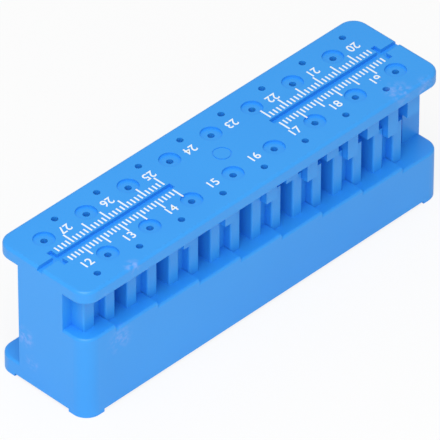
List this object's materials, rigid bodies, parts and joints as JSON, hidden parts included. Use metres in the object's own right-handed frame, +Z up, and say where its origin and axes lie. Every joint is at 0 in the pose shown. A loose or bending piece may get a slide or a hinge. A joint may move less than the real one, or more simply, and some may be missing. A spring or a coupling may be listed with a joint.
{
  "type": "endodontic measuring block",
  "caption": "Blue moulded block with stepped side ledges under rows of holes for reading file lengths, and ruler grooves in its top.",
  "frame": {"origin": "middle of the footprint, at the level the feet stand on", "axes": "+X along the length, -Y towards the side with the shallow ledges, +Z up out of the ruler face"},
  "size_m": [0.101, 0.0252, 0.032],
  "materials": {
    "body": "satin moulded plastic"
  },
  "bodies": {
    "root": {"measuring_block": "body"}
  },
  "joints": []
}
